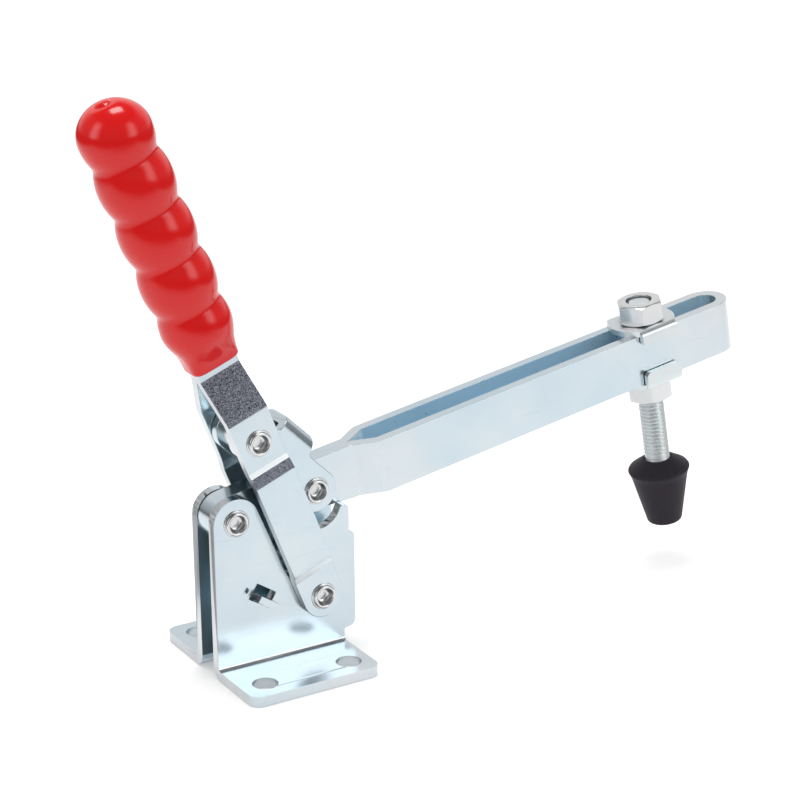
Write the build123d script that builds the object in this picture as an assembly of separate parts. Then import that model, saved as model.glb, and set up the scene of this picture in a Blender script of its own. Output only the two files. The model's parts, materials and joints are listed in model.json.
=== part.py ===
# Vertical-handle hold-down toggle clamp: flanged base, slotted U-bar, folded toggle link,
# two-plate handle with a ribbed vinyl grip, and an M8 spindle with a rubber tip.
# Millimetres. Origin: centre of the four mounting holes, on the underside of the flanges.
# +X runs toward the far end of the bar, +Z up, and the clamp is symmetric about Y = 0.
import math
import os
from build123d import *

# ---- linkage -------------------------------------------------------------------------------
arm_pivot_x = -13.8
arm_pivot_z = 46.65
handle_pivot_x = 11.8
handle_pivot_z = 19.95
arm_tilt = 9.75               # bar above horizontal, degrees
arm_link_reach = 26.2       # bar pivot to link pivot
handle_lean = 21.1           # handle back from vertical, degrees
handle_link_reach = 53.8     # handle pivot to link pivot
handle_open = 35.5           # handle travel from here to its stop, degrees

# ---- sheet stock and side clearances -----------------------------------------------------------
base_sheet = 3.2
bar_sheet = 3.25
link_sheet = 3.0
handle_sheet = 3.0
bar_side_clear = 0.3         # bar to base plates and to link plates
handle_side_clear = 0.15     # handle plates to base plates
shank_clear = 0.1            # round a rivet that turns in its hole

base_in = bar_sheet + bar_side_clear
base_out = base_in + base_sheet
link_out = base_in + link_sheet
handle_in = base_out + handle_side_clear
handle_out = handle_in + handle_sheet

# ---- base plates -------------------------------------------------------------------------------
hole_pitch_x = 27.0
hole_pitch_y = 41.4
hole_d = 7.5
flange_margin_y = 7.3        # hole centre to flange edge
flange_margin_x = 6.8
flange_corner = 3.5
base_bend = 1.1
lobe_r = 7.1                 # round the bar pivot
valley_x = 3.9
valley_z = 22.6
horn_lean = 0.245            # run over rise of the hidden side of the horn
horn_top = 45.0
horn_wall = 2.55             # left in front of the recess for the link end
horn_round = 1.2
crest_round = 1.3
front_step = 1.7             # from the horn out to the front edge
front_step_z = 36.0
relief_z = 6.7
relief_rise = 0.4            # the edge climbs toward the front
relief_round = 0.8
front_round = 2.2
link_relief = 1.0            # round the link end when the bar is level

# ---- handle stop, lanced out of each base plate --------------------------------------------------
stop_gap = 0.8               # left to the handle edge when fully open
stop_near = 13.5             # stop end nearest the handle pivot, along the stop
stop_width = 4.2
stop_reach = 3.6             # out from the plate
stop_sheet = 2.1             # coined thinner than the plate
stop_bend = 0.6
window_side = 0.35           # slit left at each end of the stop
window_above = 2.5           # opening above the stop
punch_x = -11.5              # locating mark beside the window
punch_z = 25.8
punch_r = 0.95
punch_depth = 0.9

# ---- bar -----------------------------------------------------------------------------------------
bar_slot = 8.6               # at the joggle
bar_slot_end = 8.1           # the walls close in toward the far end
bar_seam = 0.02              # the closed-up layers bite into each other
bar_joggle_gap = 16.0        # from the link pivot to the start of the joggle
bar_joggle_run = 6.8
bar_length = 179.8
bar_top = 7.65
bar_bottom = -8.45
bar_rear_r = 6.9
bar_neck_drop = 0.2          # lower edge at the link pivot, below the rear radius
bar_top_blend = 30.0         # radii where the edges turn from the neck to the slotted part
bar_low_blend = 30.0
bar_drop_blend = 20.0
bar_drop_gap = 3.0           # lower edge is straight this far before the joggle
bar_fold = 1.2

# ---- toggle link -----------------------------------------------------------------------------------
link_end_r = 6.35
link_web_height = 11.3
link_web_start = 5.7
link_web_end = 16.8
link_bend = 0.6

# ---- handle ------------------------------------------------------------------------------------------
handle_half_width = 6.45
handle_bulge_out = 1.6       # outward set over the rivet heads
lower_joggle_start = 9.0     # from the handle pivot
lower_joggle_run = 3.2
upper_joggle_gap = 7.8       # from the end of the joggle to the toggle rivet
upper_joggle_run = 4.0
slope_gap = 8.6              # from the toggle rivet to where the plates close in
slope_run = 12.2
handle_fold = 1.0

# ---- rivets ---------------------------------------------------------------------------------------------
rivet_shank_r = 3.2
rivet_bore_r = 2.45
rivet_flange_r = 3.95
rivet_flange = 0.35
rivet_crown_r = 3.5
rivet_rim_height = 1.2
rivet_bowl_depth = 1.3       # hollow in each head, below the surface it seats on
spacer_wall = 1.6

# ---- grip ------------------------------------------------------------------------------------------------
grip_gap = 3.3               # flat of the plates left bare below the mouth
grip_skirt_width = 14.8      # at the mouth
grip_skirt_depth = 10.0
grip_skirt_corner = 2.4
grip_skirt_run = 6.1         # mouth to throat
grip_flare = 0.6             # throat over mouth, each side
grip_bulge_low_r = 8.3       # where the first bulge rises out of the throat
grip_first_valley = 18.9     # from the mouth
grip_pitch = 15.13
grip_valleys = 4
grip_valley_r = 8.9
grip_valley_round = 2.0
grip_crest_r = 10.62
grip_first_crest_r = 10.24
grip_ball_r = 10.35
grip_ball_gap = 6.7          # last valley to the middle of the ball
grip_flat_r = 4.4            # flat on top of the ball
grip_flat_round = 1.5
grip_nub_r = 1.9
grip_nub_height = 0.6
grip_tang_end = 64.1         # depth of the plates inside the grip

# ---- spindle -----------------------------------------------------------------------------------------------
spindle_end_gap = 31.4       # from the far end of the bar
spindle_d = 7.9
thread_clear = 0.05
nut_flats = 13.0
nut_height = 6.5
washer_r = 10.3
washer_sheet = 1.7
washer_lip_width = 13.0
top_lip_drop = 2.9
low_lip_drop = 4.2
washer_side_clear = 0.15
spindle_top = 15.2
spindle_head_top = -43.0
spindle_head_height = 5.3
tip_top = -37.9
tip_rim_z = -41.7
tip_rim_r = 9.75
tip_rim_height = 0.7
tip_brow_r = 9.3             # edge of the dome above the rim
tip_lip_drop = 1.9           # underside of the rim
tip_lip_r = 9.0
tip_neck_drop = 3.1
tip_neck_r = 8.7
tip_foot_r = 5.45
tip_bottom = -59.9
tip_round = 1.0


# ---- frames ------------------------------------------------------------------------------------------------
def turned(x, z, angle):
    """Frame at (x, z) whose own X axis points at this angle above world +X."""
    return Location((x, 0, z), (0, -angle, 0))


def polar(x, z, reach, angle):
    a = math.radians(angle)
    return x + reach * math.cos(a), z + reach * math.sin(a)


level_x = arm_pivot_x + arm_link_reach
recess_r = link_end_r + link_relief
horn_front = level_x + recess_r + horn_wall
front_edge = horn_front + front_step
bar_joggle_start = arm_link_reach + bar_joggle_gap
bar_joggle_end = bar_joggle_start + bar_joggle_run
spindle_at = bar_length - spindle_end_gap
upper_joggle_end = handle_link_reach - upper_joggle_gap
slope_start = handle_link_reach + slope_gap
slope_end = slope_start + slope_run
grip_start = slope_end + grip_gap
grip_throat = grip_start + grip_skirt_run
handle_tang = grip_start + grip_tang_end
handle_angle = 90 + handle_lean
link_low_x, link_low_z = polar(arm_pivot_x, arm_pivot_z, arm_link_reach, arm_tilt)
link_high_x, link_high_z = polar(handle_pivot_x, handle_pivot_z, handle_link_reach, handle_angle)
link_length = math.dist((link_low_x, link_low_z), (link_high_x, link_high_z))
link_angle = math.degrees(math.atan2(link_low_z - link_high_z, link_low_x - link_high_x))

arm_frame = turned(arm_pivot_x, arm_pivot_z, arm_tilt)
handle_frame = turned(handle_pivot_x, handle_pivot_z, handle_angle)
link_frame = turned(link_high_x, link_high_z, link_angle)
spindle_frame = arm_frame * Location((spindle_at, 0, 0))


# ---- shared operations -----------------------------------------------------------------------------------------
def outline(corners):
    """Face from (x, y, corner radius) in order round the edge."""
    face = make_face(Polyline(*[(x, y) for x, y, r in corners], close=True))
    for x, y, r in corners:
        if r > 0:
            face = fillet(face.vertices().sort_by_distance((x, y, 0))[0], radius=r)
    return face


def side_slab(face, y0, y1):
    """Prism of a face drawn in X and Z, between two depths in Y."""
    return extrude(Plane.XZ.offset(-y0) * face, amount=-(y1 - y0))


def top_slab(face, z0, z1):
    return extrude(Plane.XY.offset(z0) * face, amount=z1 - z0)


def cross_rod(r, y0, y1, x=0.0, z=0.0):
    return side_slab(Pos(x, z) * Circle(r), y0, y1)


def folded_strip(path, sheet, bend):
    """Face of a sheet whose inner face follows path and whose thickness lies on its left."""
    outer = []
    turns = []
    count = len(path)
    for i, (x, y) in enumerate(path):
        before = path[i - 1] if i else None
        after = path[i + 1] if i < count - 1 else None
        d0 = math.atan2(y - before[1], x - before[0]) if before else None
        d1 = math.atan2(after[1] - y, after[0] - x) if after else None
        if d0 is None or d1 is None:
            d = d1 if d0 is None else d0
            outer.append((x - sheet * math.sin(d), y + sheet * math.cos(d)))
            turns.append(0)
            continue
        mid = (d0 + d1) / 2
        reach = sheet / math.cos((d1 - d0) / 2)
        outer.append((x - reach * math.sin(mid), y + reach * math.cos(mid)))
        turns.append(math.copysign(1, d1 - d0))
    inner_r = [0 if t == 0 else (bend if t < 0 else bend + sheet) for t in turns]
    outer_r = [0 if t == 0 else (bend + sheet if t < 0 else bend) for t in turns]
    inner = [(x, y, r) for (x, y), r in zip(path, inner_r)]
    back = [(x, y, r) for (x, y), r in zip(outer, outer_r)]
    return outline(inner + back[::-1])


def both_sides(solid):
    return solid + mirror(solid, about=Plane.XZ)


def far_copy(solid):
    return mirror(solid, about=Plane.XZ)


# ---- base plates ----------------------------------------------------------------------------------------------
def tangent_point(px, pz, cx, cz, r):
    """Where the line from (px, pz) touches the right-hand side of a circle."""
    reach = math.dist((px, pz), (cx, cz))
    toward = math.atan2(pz - cz, px - cx)
    swing = math.acos(r / reach)
    return cx + r * math.cos(toward + swing), cz + r * math.sin(toward + swing)


def base_side_face():
    left = arm_pivot_x - lobe_r
    bend_top = base_sheet + base_bend
    flange_right = hole_pitch_x / 2 + flange_margin_x
    tx, tz = tangent_point(valley_x, valley_z, arm_pivot_x, arm_pivot_z, lobe_r)
    overhang = front_edge - flange_right
    horn_back = valley_x + 0.9 + horn_lean * (horn_top - valley_z)
    body = outline([
        (left, bend_top, 0),
        (flange_right, bend_top, 0),
        (flange_right, relief_z, min(relief_round, 0.3 * overhang)),
        (front_edge, relief_z + relief_rise, min(front_round, 0.6 * overhang)),
        (front_edge, front_step_z, 0.9),
        (horn_front, front_step_z + 0.3, 0.6),
        (horn_front, horn_top, horn_round),
        (horn_back, horn_top, 0),
        (valley_x, valley_z, 2.5),
        (tx, tz, 0),
        (arm_pivot_x, arm_pivot_z, 0),
        (left, arm_pivot_z, 0),
    ])
    body += Pos(arm_pivot_x, arm_pivot_z) * Circle(lobe_r)
    body -= Pos(level_x, arm_pivot_z) * Circle(recess_r)
    crest_x = level_x + math.sqrt(recess_r ** 2 - (arm_pivot_z - horn_top) ** 2)
    body = fillet(body.vertices().sort_by_distance((crest_x, horn_top, 0))[0], radius=crest_round)
    body -= Pos(arm_pivot_x, arm_pivot_z) * Circle(rivet_shank_r)
    body -= Pos(handle_pivot_x, handle_pivot_z) * Circle(rivet_shank_r + shank_clear)
    return body


def base_plate():
    """Right-hand plate, with its upright on the -Y side."""
    upright = side_slab(base_side_face(), -base_out, -base_in)
    left = arm_pivot_x - lobe_r
    right = hole_pitch_x / 2 + flange_margin_x
    flange_edge = hole_pitch_y / 2 + flange_margin_y
    # drawn in depth and height, with depth toward -Y
    foot_face = folded_strip([
        (flange_edge, base_sheet),
        (base_out, base_sheet),
        (base_out, base_sheet + 3 * base_bend),
    ], base_sheet, base_bend)
    foot = extrude(Plane((left, 0, 0), x_dir=(0, -1, 0), z_dir=(-1, 0, 0)) * foot_face, amount=left - right)
    corners = foot.edges().filter_by(Axis.Z).group_by(Axis.Y)[0]
    foot = fillet(corners, radius=flange_corner)
    plate = upright + foot
    for x in (-hole_pitch_x / 2, hole_pitch_x / 2):
        plate -= Pos(x, -hole_pitch_y / 2, 0) * Cylinder(hole_d / 2, 4 * base_sheet)

    plate -= cross_rod(punch_r, -base_out, -base_out + punch_depth, punch_x, punch_z)

    # the stop lies along the handle edge at full opening
    stop_frame = turned(handle_pivot_x, handle_pivot_z, handle_angle + handle_open)
    top = handle_half_width + stop_gap
    root = top + stop_sheet + stop_bend
    near_side = stop_near - window_side
    far_side = stop_near + stop_width + window_side
    window = outline([
        (near_side, top - window_above, 0.4),
        (far_side, top - window_above, 0.4),
        (far_side, root, 0),
        (near_side, root, 0),
    ])
    plate -= stop_frame * side_slab(window, -base_out - 1, -base_in + 1)
    tab_face = folded_strip([
        (base_out + stop_reach, top + stop_sheet),
        (base_out, top + stop_sheet),
        (base_out, root + 2 * stop_bend),
    ], stop_sheet, stop_bend)
    tab = extrude(Plane((stop_near, 0, 0), x_dir=(0, -1, 0), z_dir=(-1, 0, 0)) * tab_face, amount=-stop_width)
    plate += stop_frame * tab
    return plate


# ---- bar ----------------------------------------------------------------------------------------------------------
def bar():
    """One strip folded round at the far end and closed up at the pivots."""
    half_slot = bar_slot / 2
    half_end = bar_slot_end / 2
    end_at = bar_length - half_end - bar_sheet
    strip = folded_strip([
        (-bar_rear_r, -bar_seam),
        (bar_joggle_start, -bar_seam),
        (bar_joggle_end, half_slot),
        (end_at, half_end),
    ], bar_sheet, bar_fold)
    plan = strip + mirror(strip, about=Plane.XZ)
    turn = Pos(end_at, 0) * (Circle(half_end + bar_sheet) - Circle(half_end))
    plan += turn - Pos(end_at - bar_length / 2, 0) * Rectangle(bar_length, bar_length)
    blank = top_slab(plan, bar_bottom - 1, bar_top + 1)
    side = outline([
        (0, bar_rear_r, 0),
        (0, -bar_rear_r, 0),
        (arm_link_reach, -bar_rear_r - bar_neck_drop, bar_low_blend),
        (bar_joggle_start - bar_drop_gap, bar_bottom, bar_drop_blend),
        (bar_length + 1, bar_bottom, 0),
        (bar_length + 1, bar_top, 0),
        (arm_link_reach + link_end_r, bar_top, bar_top_blend),
    ]) + Circle(bar_rear_r)
    side -= Circle(rivet_shank_r + shank_clear)
    side -= Pos(arm_link_reach, 0) * Circle(rivet_shank_r + shank_clear)
    return blank & side_slab(side, -bar_length, bar_length)


# ---- toggle link ----------------------------------------------------------------------------------------------------
def link():
    """Two straps joined by a web that is folded over their upper edges."""
    strap = outline([
        (0, -link_end_r, 0),
        (link_length, -link_end_r, 0),
        (link_length, link_end_r, 0),
        (link_web_end + 1.4, link_end_r, 1.0),
        (link_web_end, link_web_height, 1.6),
        (link_web_start, link_web_height, 0.8),
        (link_web_start - 0.6, link_end_r, 1.0),
        (0, link_end_r, 0),
    ])
    strap += Circle(link_end_r) + Pos(link_length, 0) * Circle(link_end_r)
    strap -= Circle(rivet_shank_r + shank_clear)
    strap -= Pos(link_length, 0) * Circle(rivet_shank_r)
    section = outline([
        (-link_out, -2 * link_end_r, 0),
        (-base_in, -2 * link_end_r, 0),
        (-base_in, link_web_height - link_sheet, link_bend),
        (base_in, link_web_height - link_sheet, link_bend),
        (base_in, -2 * link_end_r, 0),
        (link_out, -2 * link_end_r, 0),
        (link_out, link_web_height, link_bend + link_sheet),
        (-link_out, link_web_height, link_bend + link_sheet),
    ])
    span = link_length + 4 * link_end_r
    channel = extrude(Plane((-2 * link_end_r, 0, 0), x_dir=(0, 1, 0), z_dir=(1, 0, 0)) * section, amount=span)
    return channel & side_slab(strap, -link_out, link_out)


# ---- handle --------------------------------------------------------------------------------------------------------------
def handle_plate():
    """Right-hand plate in the handle frame: X toward the grip, depth in Y."""
    raised = handle_in + handle_bulge_out
    strip = folded_strip([
        (-handle_half_width, handle_in),
        (lower_joggle_start, handle_in),
        (lower_joggle_start + lower_joggle_run, raised),
        (upper_joggle_end - upper_joggle_run, raised),
        (upper_joggle_end, handle_in),
        (slope_start, handle_in),
        (slope_end, 0),
        (handle_tang, 0),
    ], handle_sheet, handle_fold)
    blank = mirror(top_slab(strip, -handle_half_width, handle_half_width), about=Plane.XZ)
    side = Pos(handle_tang / 2, 0) * Rectangle(handle_tang, 2 * handle_half_width)
    side += Circle(handle_half_width)
    side -= Circle(rivet_shank_r)
    side -= Pos(handle_link_reach, 0) * Circle(rivet_shank_r)
    return blank & side_slab(side, -2 * handle_out, 0)


def grip():
    """Vinyl moulding: a ball and ribs turned about the handle axis, and a flattened skirt."""
    first = grip_start + grip_first_valley
    valleys = [first + i * grip_pitch for i in range(grip_valleys)]
    low = (grip_throat, grip_bulge_low_r)
    lines = [Line((grip_throat, 0), low)]
    crest_r = grip_first_crest_r
    for at in valleys:
        crest = ((low[0] + at) / 2, crest_r)
        lines.append(ThreePointArc(low, crest, (at, grip_valley_r)))
        low = (at, grip_valley_r)
        crest_r = grip_crest_r
    ball_at = valleys[-1] + grip_ball_gap
    lines.append(TangentArc((ball_at, grip_ball_r), low, tangent=(-1, 0)))
    flat_at = ball_at + math.sqrt(grip_ball_r ** 2 - grip_flat_r ** 2)
    slant = math.radians(45)
    shoulder = (ball_at + grip_ball_r * math.cos(slant), grip_ball_r * math.sin(slant))
    lines.append(ThreePointArc((ball_at, grip_ball_r), shoulder, (flat_at, grip_flat_r)))
    lines.append(Line((flat_at, grip_flat_r), (flat_at, grip_nub_r)))
    lines.append(Line((flat_at, grip_nub_r), (flat_at + grip_nub_height, grip_nub_r)))
    lines.append(Line((flat_at + grip_nub_height, grip_nub_r), (flat_at + grip_nub_height, 0)))
    lines.append(Line((flat_at + grip_nub_height, 0), (grip_throat, 0)))
    profile = make_face(lines)
    for at in valleys:
        corner = profile.vertices().sort_by_distance((at, grip_valley_r, 0))[0]
        profile = fillet(corner, radius=grip_valley_round)
    brow = profile.vertices().sort_by_distance((flat_at, grip_flat_r, 0))[0]
    profile = fillet(brow, radius=grip_flat_round)
    nub_brow = profile.vertices().sort_by_distance((flat_at + grip_nub_height, grip_nub_r, 0))[0]
    profile = fillet(nub_brow, radius=0.7 * grip_nub_height)
    ribs = revolve(Plane.XY * profile, axis=Axis.X)

    # the skirt runs from inside the first bulge to a flat mouth that follows the two plates
    def section(at):
        return Plane((at, 0, 0), x_dir=(0, 1, 0), z_dir=(1, 0, 0))

    grown = 2 * grip_flare
    mouth = section(grip_start) * RectangleRounded(grip_skirt_depth, grip_skirt_width, grip_skirt_corner)
    throat = section(grip_throat) * RectangleRounded(
        grip_skirt_depth + 2 * grown, grip_skirt_width + grown, grip_skirt_corner + grown)
    crown = section(grip_throat + grip_skirt_run / 2) * Circle(grip_bulge_low_r + grip_flare)
    skirt = loft([mouth, throat]) + loft([throat, crown])
    mouth_edges = skirt.edges().group_by(Axis.X)[0]
    skirt = fillet(mouth_edges, radius=0.8)
    pocket = Pos((grip_start + handle_tang) / 2, 0, 0) * Box(
        handle_tang - grip_start, 2 * handle_sheet, 2 * handle_half_width)
    return ribs + skirt - pocket


# ---- rivets and spacers ----------------------------------------------------------------------------------------------------
def rivet_head(face_y):
    """Head on the -Y side, seated at depth face_y: a thin flange under a rounded crown."""
    crown_round = 0.45 * (rivet_crown_r - rivet_bore_r)
    section = outline([
        (rivet_bore_r, 0, 0),
        (rivet_flange_r, 0, 0),
        (rivet_flange_r, rivet_flange, 0.2),
        (rivet_crown_r, rivet_flange, 0),
        (rivet_crown_r, rivet_rim_height, crown_round),
        (rivet_bore_r, rivet_rim_height, crown_round),
    ])
    return Location((0, -face_y, 0), (90, 0, 0)) * revolve(Plane.XZ * section, axis=Axis.Z)


def rivet_bowl(face_y):
    section = outline([
        (0, -rivet_bowl_depth, 0),
        (rivet_bore_r, -rivet_bowl_depth, 0.8 * rivet_bowl_depth),
        (rivet_bore_r, rivet_rim_height, 0),
        (0, rivet_rim_height, 0),
    ])
    return Location((0, -face_y, 0), (90, 0, 0)) * revolve(Plane.XZ * section, axis=Axis.Z)


def through_rivet(face_y):
    bowl = rivet_bowl(face_y)
    shank = cross_rod(rivet_shank_r, -face_y, face_y) - bowl - far_copy(bowl)
    return shank + both_sides(rivet_head(face_y))


def short_rivet(inner_y, face_y):
    shank = cross_rod(rivet_shank_r, -face_y, -inner_y) - rivet_bowl(face_y)
    return shank + rivet_head(face_y)


def spacer(bore_r):
    return cross_rod(bore_r + spacer_wall, -base_in, base_in) - cross_rod(bore_r, -base_in, base_in)


# ---- spindle -----------------------------------------------------------------------------------------------------------------
def hex_nut():
    """Seated at Z = 0, both ends turned down to a chamfer."""
    hexagon = RegularPolygon(nut_flats / 2, 6, major_radius=False)
    body = extrude(hexagon, amount=nut_height)
    corner_r = nut_flats / math.sqrt(3)
    flat_r = nut_flats / 2 - 0.3
    drop = (corner_r - flat_r) * math.tan(math.radians(30))
    turned_face = outline([
        (0, 0, 0), (flat_r, 0, 0), (corner_r, drop, 0),
        (corner_r, nut_height - drop, 0), (flat_r, nut_height, 0), (0, nut_height, 0),
    ])
    body = body & revolve(Plane.XZ * turned_face, axis=Axis.Z)
    return body - Cylinder(spindle_d / 2 + thread_clear, 3 * nut_height)


def flanged_washer(lip_drop):
    """Round disc seated at Z = 0, with two lips folded down over the sides of the bar."""
    lip_in = bar_slot / 2 + bar_sheet + washer_side_clear
    lip_out = lip_in + washer_sheet
    disc = top_slab(Circle(washer_r), 0, washer_sheet) & Box(4 * washer_r, 2 * lip_out, 4 * washer_r)
    disc -= Pos(0, lip_out, 0) * Box(washer_lip_width, 2 * washer_sheet, 4 * washer_r)
    disc -= Pos(0, -lip_out, 0) * Box(washer_lip_width, 2 * washer_sheet, 4 * washer_r)
    lip_face = outline([
        (lip_in - washer_sheet, 0, 0),
        (lip_in, 0, 0.2),
        (lip_in, -lip_drop, 0),
        (lip_out, -lip_drop, 0),
        (lip_out, washer_sheet, washer_sheet),
        (lip_in - washer_sheet, washer_sheet, 0),
    ])
    lip = extrude(Plane((-washer_lip_width / 2, 0, 0), x_dir=(0, 1, 0), z_dir=(1, 0, 0)) * lip_face,
                  amount=washer_lip_width)
    foot_edges = lip.edges().filter_by(Axis.Y).group_by(Axis.Z)[0]
    lip = fillet(foot_edges, radius=1.4)
    washer = disc + both_sides(lip)
    return washer - Cylinder(spindle_d / 2 + 0.25, 4 * washer_sheet)


def spindle_bolt():
    shank_r = spindle_d / 2
    shank = Pos(0, 0, (spindle_top + spindle_head_top) / 2) * Cylinder(shank_r, spindle_top - spindle_head_top)
    shank = chamfer(shank.edges().group_by(Axis.Z)[-1], length=0.8)
    hexagon = RegularPolygon(nut_flats / 2, 6, major_radius=False)
    return shank + top_slab(hexagon, spindle_head_top - spindle_head_height, spindle_head_top)


def rubber_tip():
    """Turned cap moulded over the bolt head."""
    profile = outline([
        (0, tip_bottom, 0),
        (tip_foot_r, tip_bottom, tip_round),
        (tip_neck_r, tip_rim_z - tip_neck_drop, 1.0),
        (tip_lip_r, tip_rim_z - tip_lip_drop, 0.4),
        (tip_rim_r, tip_rim_z, 0.3),
        (tip_brow_r, tip_rim_z + tip_rim_height, 0.5),
        (spindle_d / 2 + 0.7, tip_top, 0.3),
        (0, tip_top, 0),
    ])
    cap = revolve(Plane.XZ * profile, axis=Axis.Z)
    return cap - spindle_bolt()


# ---- assembly --------------------------------------------------------------------------------------------------------------------
base_right = base_plate()
bar_rivet = through_rivet(base_out)
pivot_spacer = spacer(rivet_shank_r + shank_clear)
top_seat = spindle_frame * Location((0, 0, bar_top))
low_seat = spindle_frame * Location((0, 0, bar_bottom), (180, 0, 0))
nut = hex_nut()
plate = handle_frame * handle_plate()
link_rivet = link_frame * Location((link_length, 0, 0)) * short_rivet(base_in, link_out)

nodes = {
    "base_plate_right": base_right,
    "base_plate_left": far_copy(base_right),
    "bar_pivot_rivet": arm_frame * bar_rivet,
    "handle_pivot_spacer": handle_frame * pivot_spacer,
    "bar": arm_frame * bar(),
    "link": link_frame * link(),
    "link_bush": link_frame * pivot_spacer,
    "link_rivet_right": link_rivet,
    "link_rivet_left": far_copy(link_rivet),
    "handle_plate_right": plate,
    "handle_plate_left": far_copy(plate),
    "handle_pivot_rivet": handle_frame * through_rivet(handle_out),
    "toggle_rivet": handle_frame * Location((handle_link_reach, 0, 0)) * through_rivet(handle_out),
    "grip": handle_frame * grip(),
    "top_washer": top_seat * flanged_washer(top_lip_drop),
    "low_washer": low_seat * flanged_washer(low_lip_drop),
    "top_nut": top_seat * Location((0, 0, washer_sheet)) * nut,
    "low_nut": low_seat * Location((0, 0, washer_sheet)) * nut,
    "spindle_bolt": spindle_frame * spindle_bolt(),
    "rubber_tip": spindle_frame * rubber_tip(),
}

os.makedirs("parts", exist_ok=True)
for name, shape in nodes.items():
    export_step(shape, f"parts/{name}.step")
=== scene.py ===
import json
import math
import bpy
import bmesh
from mathutils import Matrix, Vector


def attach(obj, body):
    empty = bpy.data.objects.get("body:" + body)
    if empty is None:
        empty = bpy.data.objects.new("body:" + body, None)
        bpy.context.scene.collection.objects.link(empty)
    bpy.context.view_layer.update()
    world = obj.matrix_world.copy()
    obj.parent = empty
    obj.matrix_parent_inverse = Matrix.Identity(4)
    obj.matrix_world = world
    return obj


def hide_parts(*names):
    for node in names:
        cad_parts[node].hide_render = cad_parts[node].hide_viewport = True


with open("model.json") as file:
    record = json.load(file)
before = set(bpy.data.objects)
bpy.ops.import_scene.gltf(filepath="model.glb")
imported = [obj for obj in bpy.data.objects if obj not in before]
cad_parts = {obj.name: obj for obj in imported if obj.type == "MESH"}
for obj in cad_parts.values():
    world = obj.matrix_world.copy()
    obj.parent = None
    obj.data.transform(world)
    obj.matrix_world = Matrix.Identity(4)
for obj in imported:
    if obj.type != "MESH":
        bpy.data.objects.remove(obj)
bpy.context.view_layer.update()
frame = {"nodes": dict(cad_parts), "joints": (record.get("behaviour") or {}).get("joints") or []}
scene = bpy.context.scene
mm = 0.001
cutWithin = 1e-7  # metres, tolerance of every plane cut
tiny = 1e-6  # metres, nearer than this counts as touching

joints = {joint["name"]: joint for joint in frame["joints"]}
armPivot = Vector(joints["arm_pivot"]["pos_m"])
handlePivot = Vector(joints["handle_pivot"]["pos_m"])
barAxis = Vector(joints["spindle_slide"]["axis"])
spindleAxis = Vector(joints["spindle_height"]["axis"])


def frameAt(origin, along):
    # own X runs along the given direction, own Y stays the clamp's Y, own Z completes it
    ownX = Vector(along).normalized()
    ownY = Vector((0, 1, 0))
    turned = Matrix((ownX, ownY, ownX.cross(ownY))).transposed().to_4x4()
    turned.translation = origin
    return turned


def leaning(degrees):
    # direction in the middle plane, turned up from +X
    return Vector((math.cos(math.radians(degrees)), 0, math.sin(math.radians(degrees))))


def newGroup(name, inputs, outputs):
    group = bpy.data.node_groups.new(name, "ShaderNodeTree")
    for socketName, kind, value in inputs:
        socket = group.interface.new_socket(socketName, in_out="INPUT", socket_type=kind)
        socket.default_value = value
    for socketName, kind in outputs:
        group.interface.new_socket(socketName, in_out="OUTPUT", socket_type=kind)
    inside = group.nodes.new("NodeGroupInput")
    outside = group.nodes.new("NodeGroupOutput")
    return group, group.nodes, group.links, inside, outside


rolled = {
    # tint, scale of its noise, and the noise where it starts and where it is full
    "clouds": [("Cloud", 38, 0.36, 0.74), ("Warm", 21, 0.5, 0.78)],
    # each set of scratches: how its noise is turned and drawn out
    "scratches": [((0.0, 0.5, 0.0), (45, 300, 1300)), ((0.0, 1.35, 0.0), (60, 300, 1500))],
    "scratchCrest": (0.64, 0.76),
    "scratchTint": (0.62, 0.66, 0.70, 1),
    "grainScale": 500,
    "grainRoughness": 0.07,
    "grainHeight": 0.08 * mm,
}


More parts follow.
